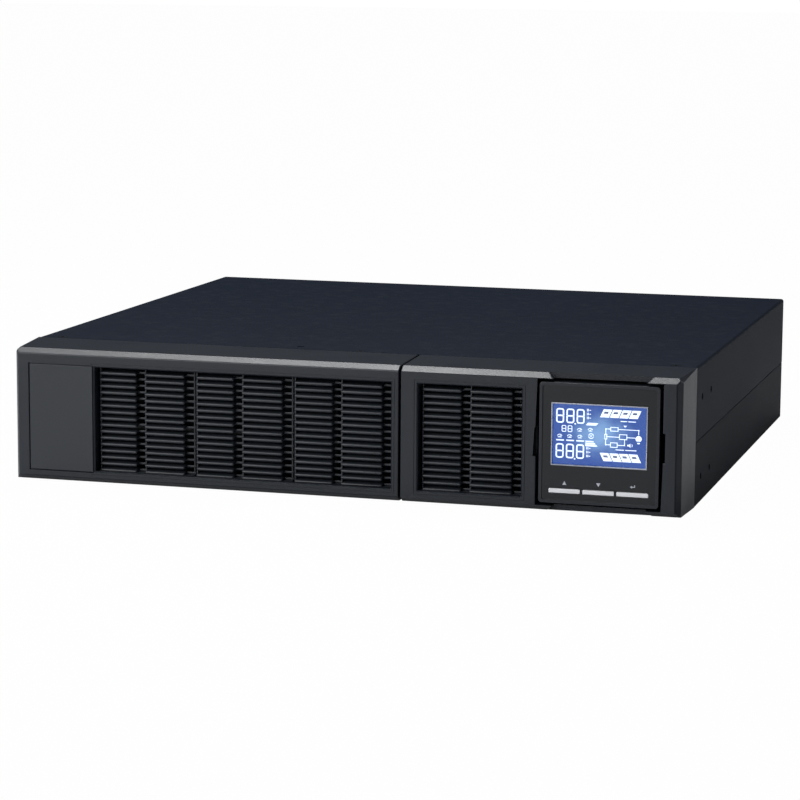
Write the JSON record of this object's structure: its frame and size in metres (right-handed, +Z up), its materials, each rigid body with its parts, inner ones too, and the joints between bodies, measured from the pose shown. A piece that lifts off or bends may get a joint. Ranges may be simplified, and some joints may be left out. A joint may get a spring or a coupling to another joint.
{
  "type": "uninterruptible power supply",
  "caption": "Flat rack or tower uninterruptible power supply with louvred plastic front, square backlit display, pull-out battery pack and rear outlets.",
  "frame": {"origin": "centre of the underside, midway between the front face and the rear edge of the cover", "axes": "+X to the right seen from the front, -Y towards the front, +Z up"},
  "size_m": [0.438, 0.41, 0.088],
  "materials": {
    "cover_paint": "fine textured powder coat",
    "chassis_paint": "fine textured powder coat",
    "zinc_steel": "zinc plated",
    "black_screws": "black zinc",
    "bezel_plastic": "fine spark texture",
    "panel_plastic": "fine spark texture",
    "louvre_plastic": "satin moulded",
    "display_plastic": "satin black",
    "display_trim": "satin silver",
    "display_lens": "clear",
    "display_glass": "backlit blue",
    "circuit_board": "solder mask",
    "black_plastic": "satin moulded",
    "button_plastic": "smooth",
    "battery_case": "smooth moulded",
    "terminal_metal": "plated",
    "connector_yellow": "moulded",
    "rotor_plastic": "satin moulded",
    "blade_metal": "nickel plated",
    "reset_plastic": "smooth",
    "terminal_green": "smooth",
    "heat_sink_aluminium": "extruded",
    "core_winding": "enamelled winding and tape",
    "capacitor_sleeve": "shrink sleeve",
    "relay_case": "moulded"
  },
  "bodies": {
    "case": {"base_chassis": "chassis_paint", "top_cover": "cover_paint", "rear_panel": "cover_paint", "front_subframe": "chassis_paint", "battery_bay_wall": "zinc_steel", "ear_nuts": "zinc_steel", "case_screws": "black_screws", "main_bezel": "bezel_plastic", "louvre_insert_4": "louvre_plastic", "battery_socket": "connector_yellow", "fan_frame_inner": "black_plastic", "fan_frame_outer": "black_plastic", "fan_guard_inner": "zinc_steel", "fan_guard_outer": "zinc_steel", "outlets": "black_plastic", "ac_inlet": "black_plastic", "inlet_blades": "blade_metal", "breaker_body": "black_plastic", "dc_connector": "black_plastic", "signal_ports": "blade_metal", "surge_ports": "black_plastic", "epo_terminal": "terminal_green", "slot_cover": "zinc_steel", "board_standoffs": "terminal_metal", "main_board": "circuit_board", "heat_sinks": "heat_sink_aluminium", "power_transistors": "black_plastic", "transformer": "core_winding", "chokes": "core_winding", "bus_capacitors": "capacitor_sleeve", "relays": "relay_case", "filter_board": "circuit_board", "control_board": "circuit_board"},
    "battery_pack": {"battery_tray": "zinc_steel", "battery_1": "battery_case", "battery_2": "battery_case", "battery_3": "battery_case", "battery_4": "battery_case", "battery_terminals": "terminal_metal", "battery_plug": "connector_yellow", "tray_handle": "black_plastic", "tray_screws": "zinc_steel"},
    "battery_front": {"battery_bezel": "bezel_plastic", "name_panel": "panel_plastic", "louvre_insert_1": "louvre_plastic", "louvre_insert_2": "louvre_plastic", "louvre_insert_3": "louvre_plastic"},
    "display_module": {"lcd_frame": "display_plastic", "lcd_trim": "display_trim", "lcd_lens": "display_lens", "lcd_glass": "display_glass", "lcd_board": "circuit_board", "lcd_back_cover": "display_plastic", "key_switches": "black_plastic"},
    "left_button": {"button_left": "button_plastic"},
    "middle_button": {"button_middle": "button_plastic"},
    "right_button": {"button_right": "button_plastic"},
    "inner_fan_rotor": {"fan_rotor_inner": "rotor_plastic"},
    "outer_fan_rotor": {"fan_rotor_outer": "rotor_plastic"},
    "reset_button": {"breaker_button": "reset_plastic"}
  },
  "joints": [
    {"name": "battery_pack_slide", "type": "slide", "parent": "case", "child": "battery_pack", "axis": [0, -1, 0], "range_m": [0, 0.3]},
    {"name": "battery_bezel_pull", "type": "slide", "parent": "battery_pack", "child": "battery_front", "axis": [0, -1, 0], "range_m": [0, 0.08]},
    {"name": "display_module_pull", "type": "slide", "parent": "case", "child": "display_module", "axis": [0, -1, 0], "range_m": [0, 0.024]},
    {"name": "left_button_press", "type": "slide", "parent": "display_module", "child": "left_button", "axis": [0, 1, 0], "range_m": [0, 0.0005], "stiffness_N_per_m": 300},
    {"name": "middle_button_press", "type": "slide", "parent": "display_module", "child": "middle_button", "axis": [0, 1, 0], "range_m": [0, 0.0005], "stiffness_N_per_m": 300},
    {"name": "right_button_press", "type": "slide", "parent": "display_module", "child": "right_button", "axis": [0, 1, 0], "range_m": [0, 0.0005], "stiffness_N_per_m": 300},
    {"name": "inner_fan_spin", "type": "hinge", "parent": "case", "child": "inner_fan_rotor", "pos_m": [0.04, 0.187, 0.04385], "axis": [0, 1, 0], "continuous": true},
    {"name": "outer_fan_spin", "type": "hinge", "parent": "case", "child": "outer_fan_rotor", "pos_m": [0.122, 0.187, 0.04385], "axis": [0, 1, 0], "continuous": true},
    {"name": "reset_button_pop", "type": "slide", "parent": "case", "child": "reset_button", "axis": [0, 1, 0], "range_m": [0, 0.003]}
  ]
}
